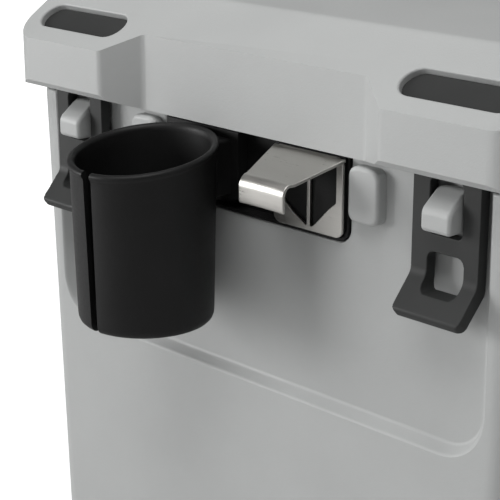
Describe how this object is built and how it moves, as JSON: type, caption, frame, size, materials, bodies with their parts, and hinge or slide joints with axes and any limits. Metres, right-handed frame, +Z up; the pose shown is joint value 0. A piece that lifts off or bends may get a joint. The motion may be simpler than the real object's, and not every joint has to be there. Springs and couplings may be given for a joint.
{
  "type": "wheeled cooler box",
  "caption": "Insulated cooler box with hinged lid, rubber strap latches, clip-in cup holder and bottle opener, rolling wheels, swinging tow and carry handles and a drain plug.",
  "frame": {"origin": "bottom centre of the whole object's bounding box, on the ground", "axes": "+Z up; -Y is the front with the latches, cup holder and opener; +X is the wheel end, on the right seen from the front"},
  "size_m": [0.5196, 0.4991, 0.5232],
  "materials": {
    "shell_grey": "light grey moulded polyethylene, satin with fine grain",
    "liner_white": "smooth white food-safe liner",
    "foam": "closed-cell insulating foam",
    "latch_rubber": "charcoal moulded rubber",
    "black_plastic": "black moulded plastic, satin",
    "steel": "brushed stainless steel",
    "seal_rubber": "dark grey soft rubber",
    "tyre_rubber": "black tread rubber",
    "rim_plastic": "dark grey moulded plastic",
    "aluminium": "satin anodised tube",
    "nylon": "natural nylon"
  },
  "bodies": {
    "tub": {"outer_shell": "shell_grey", "tub_foam": "foam", "tub_liner": "liner_white", "accessory_bracket": "black_plastic", "cup_holder": "black_plastic", "opener_base": "black_plastic", "bottle_opener": "steel", "axle": "steel", "axle_spacer_front": "nylon", "axle_spacer_rear": "nylon", "axle_washer_front": "steel", "axle_washer_rear": "steel", "axle_cap_front": "black_plastic", "axle_cap_rear": "black_plastic", "foot_front": "seal_rubber", "foot_rear": "seal_rubber", "tub_hinge_leaf_left": "black_plastic", "tub_hinge_leaf_right": "black_plastic", "hinge_pin_left": "steel", "hinge_pin_right": "steel", "tow_bracket_front": "black_plastic", "tow_bracket_rear": "black_plastic", "tow_bolt_front": "steel", "tow_bolt_rear": "steel", "carry_bracket_front": "black_plastic", "carry_bracket_rear": "black_plastic", "carry_bolt_front": "steel", "carry_bolt_rear": "steel", "drain_spigot": "black_plastic", "drain_nut": "black_plastic"},
    "lid": {"lid_shell": "shell_grey", "lid_foam": "foam", "lid_liner": "liner_white", "lid_seal": "seal_rubber", "latch_cap_left": "latch_rubber", "latch_cap_right": "latch_rubber", "latch_pin_left": "steel", "latch_pin_right": "steel", "lid_hinge_leaf_left": "black_plastic", "lid_hinge_leaf_right": "black_plastic"},
    "latch_left": {"latch_strap_left": "latch_rubber"},
    "latch_right": {"latch_strap_right": "latch_rubber"},
    "wheel_front": {"tyre_front": "tyre_rubber", "wheel_rim_front": "rim_plastic", "wheel_bush_front": "nylon"},
    "wheel_rear": {"tyre_rear": "tyre_rubber", "wheel_rim_rear": "rim_plastic", "wheel_bush_rear": "nylon"},
    "tow_handle": {"tow_handle_frame": "aluminium", "tow_grip": "seal_rubber"},
    "carry_handle": {"carry_handle_frame": "aluminium", "carry_grip": "seal_rubber"},
    "drain": {"drain_plug": "black_plastic"}
  },
  "joints": [
    {"name": "lid_hinge", "type": "hinge", "parent": "tub", "child": "lid", "pos_m": [-0.00225, 0.24419, 0.44435], "axis": [-1, 0, 0], "range_deg": [0, 100], "deforming": ["latch_strap_left", "latch_strap_right"]},
    {"name": "latch_swing_left", "type": "hinge", "parent": "lid", "child": "latch_left", "pos_m": [-0.1729, -0.15001, 0.456], "axis": [-1, 0, 0], "range_deg": [0, 45]},
    {"name": "latch_swing_right", "type": "hinge", "parent": "lid", "child": "latch_right", "pos_m": [0.1684, -0.15001, 0.456], "axis": [-1, 0, 0], "range_deg": [0, 45]},
    {"name": "wheel_spin_front", "type": "hinge", "parent": "tub", "child": "wheel_front", "pos_m": [0.16975, -0.12431, 0.09], "axis": [0, 1, 0], "continuous": true},
    {"name": "wheel_spin_rear", "type": "hinge", "parent": "tub", "child": "wheel_rear", "pos_m": [0.16975, 0.20569, 0.09], "axis": [0, 1, 0], "continuous": true},
    {"name": "tow_handle_swing", "type": "hinge", "parent": "tub", "child": "tow_handle", "pos_m": [-0.24625, 0.03569, 0.395], "axis": [0, 1, 0], "range_deg": [0, 120]},
    {"name": "carry_handle_swing", "type": "hinge", "parent": "tub", "child": "carry_handle", "pos_m": [0.23875, 0.03569, 0.4], "axis": [0, -1, 0], "range_deg": [0, 90]},
    {"name": "drain_plug_turn", "type": "hinge", "parent": "tub", "child": "drain", "pos_m": [-0.22675, 0.03569, 0.073], "axis": [1, 0, 0], "range_deg": [0, 90]}
  ]
}
